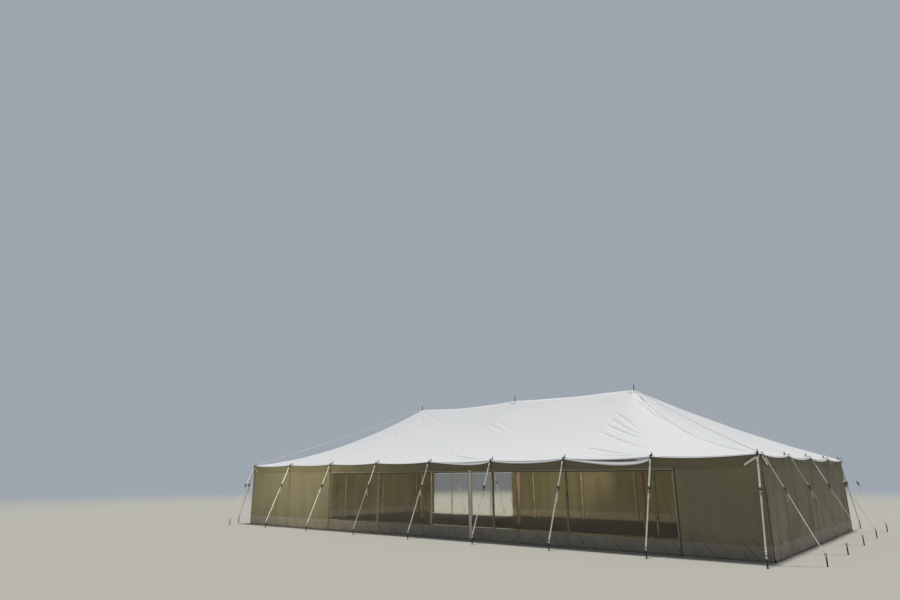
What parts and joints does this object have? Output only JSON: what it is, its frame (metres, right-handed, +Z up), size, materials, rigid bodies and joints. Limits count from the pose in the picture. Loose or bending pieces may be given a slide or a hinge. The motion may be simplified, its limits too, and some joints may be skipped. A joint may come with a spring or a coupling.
{
  "type": "pole marquee",
  "caption": "Long white canvas pole marquee with hipped ends, scalloped eaves, clear window walls in front, centre poles, side poles and strap guys to stakes.",
  "frame": {"origin": "middle of the plan on the ground", "axes": "+X along the marquee to the right seen from the front, +Z up, the front window wall faces -Y"},
  "size_m": [19.946, 10.946, 4.39],
  "materials": {
    "roof_canvas": "coated white canvas, soft sheen",
    "wall_canvas": "coated white canvas, matt",
    "clear_sheet": "clear flexible sheet",
    "timber": "varnished timber",
    "pole_steel": "dull paint",
    "rope": "laid rope",
    "strap": "woven webbing",
    "ratchet_steel": "dull zinc"
  },
  "bodies": {
    "root": {"roof_front_end_left": "roof_canvas", "roof_front_middle_left": "roof_canvas", "roof_front_middle_right": "roof_canvas", "roof_front_end_right": "roof_canvas", "roof_back_end_left": "roof_canvas", "roof_back_middle_left": "roof_canvas", "roof_back_middle_right": "roof_canvas", "roof_back_end_right": "roof_canvas", "roof_left_hip": "roof_canvas", "roof_right_hip": "roof_canvas", "valance_front": "roof_canvas", "valance_back": "roof_canvas", "valance_left": "roof_canvas", "valance_right": "roof_canvas", "front_wall_left": "wall_canvas", "front_window_wall_left": "wall_canvas", "front_window_wall_right": "wall_canvas", "front_wall_right": "wall_canvas", "back_wall_left": "wall_canvas", "back_wall_middle": "wall_canvas", "back_wall_right": "wall_canvas", "left_end_wall": "wall_canvas", "right_end_wall": "wall_canvas", "front_window_clear_left": "clear_sheet", "front_window_clear_right": "clear_sheet", "centre_pole_left": "timber", "centre_pole_middle": "timber", "centre_pole_right": "timber", "side_pole_and_guy_front_1": "pole_steel", "side_pole_and_guy_front_2": "pole_steel", "side_pole_and_guy_front_3": "pole_steel", "side_pole_and_guy_front_4": "pole_steel", "side_pole_and_guy_front_5": "pole_steel", "side_pole_and_guy_front_6": "pole_steel", "side_pole_and_guy_front_7": "pole_steel", "side_pole_and_guy_front_8": "pole_steel", "side_pole_and_guy_front_9": "pole_steel", "side_pole_and_guy_back_1": "pole_steel", "side_pole_and_guy_back_2": "pole_steel", "side_pole_and_guy_back_3": "pole_steel", "side_pole_and_guy_back_4": "pole_steel", "side_pole_and_guy_back_5": "pole_steel", "side_pole_and_guy_back_6": "pole_steel", "side_pole_and_guy_back_7": "pole_steel", "side_pole_and_guy_back_8": "pole_steel", "side_pole_and_guy_back_9": "pole_steel", "side_pole_and_guy_left_1": "pole_steel", "side_pole_and_guy_left_2": "pole_steel", "side_pole_and_guy_left_3": "pole_steel", "side_pole_and_guy_right_1": "pole_steel", "side_pole_and_guy_right_2": "pole_steel", "side_pole_and_guy_right_3": "pole_steel", "hip_rope_front_left": "rope", "hip_rope_back_left": "rope", "hip_rope_front_right": "rope", "hip_rope_back_right": "rope"}
  },
  "joints": []
}
